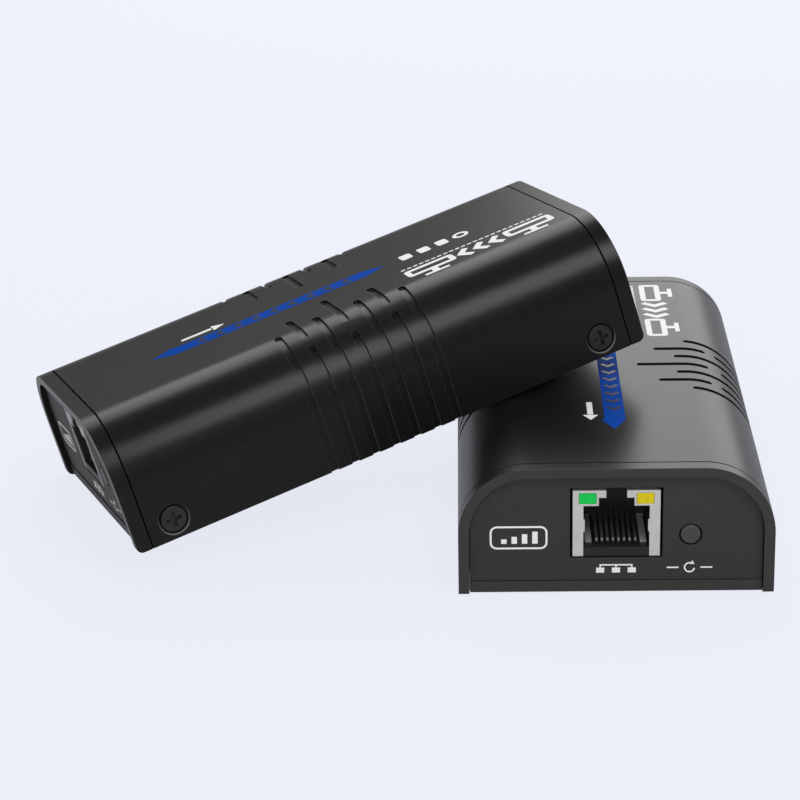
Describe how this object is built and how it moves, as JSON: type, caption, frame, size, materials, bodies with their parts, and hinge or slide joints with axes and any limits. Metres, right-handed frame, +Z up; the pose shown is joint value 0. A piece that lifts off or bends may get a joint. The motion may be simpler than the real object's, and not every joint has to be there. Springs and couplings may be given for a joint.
{
  "type": "hdmi extender",
  "caption": "Pair of HDMI-over-network-cable extender boxes: a flat-lying sender and a receiver leaning on its rounded shoulder.",
  "frame": {"origin": "middle of the sender's underside, at the foot of its side walls", "axes": "+Z up, +Y along the sender from its network end to its power end, +X to the right seen from the network end"},
  "size_m": [0.1429, 0.108, 0.0559],
  "materials": {
    "case_black": "satin charcoal, fine moulded grain",
    "panel_grey": "matt dark grey, fine moulded grain",
    "screw_black": "black coated steel",
    "board_green": "green solder mask",
    "screw_zinc": "zinc plated",
    "socket_metal": "tin plated sheet",
    "socket_black": "black moulded nylon",
    "contact_gold": "gold flashed",
    "pin_nickel": "nickel plated",
    "lamp_green": "tinted clear lens",
    "lamp_yellow": "tinted clear lens",
    "lamp_red": "tinted clear lens, unlit",
    "button_grey": "moulded nylon",
    "chip_black": "moulded epoxy",
    "sink_aluminium": "extruded, clear finish",
    "can_aluminium": "drawn can in a clear sleeve",
    "ferrite_grey": "coated ferrite",
    "crystal_can": "drawn can"
  },
  "bodies": {
    "sender": {"sender_top_shell": "case_black", "sender_base_plate": "case_black", "sender_front_panel": "panel_grey", "sender_rear_panel": "panel_grey", "sender_case_screws": "screw_black", "sender_circuit_board": "board_green", "sender_board_screws": "screw_zinc", "sender_lan_jack_shield": "socket_metal", "sender_lan_jack_insert": "socket_black", "sender_lan_jack_contacts": "contact_gold", "sender_lan_led_green": "lamp_green", "sender_lan_led_yellow": "lamp_yellow", "sender_reset_switch": "socket_black", "sender_switch_bracket": "socket_metal", "sender_hdmi_shell": "socket_metal", "sender_hdmi_tongue": "socket_black", "sender_hdmi_contacts": "contact_gold", "sender_dc_jack_body": "socket_black", "sender_dc_jack_pin": "pin_nickel", "sender_dc_jack_spring": "contact_gold", "sender_power_led": "lamp_red", "sender_main_chip": "chip_black", "sender_heat_sink": "sink_aluminium", "sender_memory_chip": "chip_black", "sender_hdmi_chip": "chip_black", "sender_capacitors": "can_aluminium", "sender_inductors": "ferrite_grey", "sender_crystal": "crystal_can"},
    "receiver": {"receiver_top_shell": "case_black", "receiver_base_plate": "case_black", "receiver_front_panel": "panel_grey", "receiver_rear_panel": "panel_grey", "receiver_case_screws": "screw_black", "receiver_circuit_board": "board_green", "receiver_board_screws": "screw_zinc", "receiver_lan_jack_shield": "socket_metal", "receiver_lan_jack_insert": "socket_black", "receiver_lan_jack_contacts": "contact_gold", "receiver_lan_led_green": "lamp_green", "receiver_lan_led_yellow": "lamp_yellow", "receiver_reset_switch": "socket_black", "receiver_switch_bracket": "socket_metal", "receiver_hdmi_shell": "socket_metal", "receiver_hdmi_tongue": "socket_black", "receiver_hdmi_contacts": "contact_gold", "receiver_dc_jack_body": "socket_black", "receiver_dc_jack_pin": "pin_nickel", "receiver_dc_jack_spring": "contact_gold", "receiver_power_led": "lamp_red", "receiver_main_chip": "chip_black", "receiver_heat_sink": "sink_aluminium", "receiver_memory_chip": "chip_black", "receiver_hdmi_chip": "chip_black", "receiver_capacitors": "can_aluminium", "receiver_inductors": "ferrite_grey", "receiver_crystal": "crystal_can"},
    "sender_button": {"sender_reset_button": "button_grey"},
    "receiver_button": {"receiver_reset_button": "button_grey"}
  },
  "joints": [
    {"name": "receiver_lift", "type": "slide", "parent": "sender", "child": "receiver", "axis": [0, 0, 1], "range_m": [0, 0.07]},
    {"name": "sender_reset_press", "type": "slide", "parent": "sender", "child": "sender_button", "axis": [0, 1, 0], "range_m": [0, 0.0005], "stiffness_N_per_m": 400},
    {"name": "receiver_reset_press", "type": "slide", "parent": "receiver", "child": "receiver_button", "axis": [0.894, 0.3697, 0.253], "range_m": [0, 0.0005], "stiffness_N_per_m": 400}
  ]
}
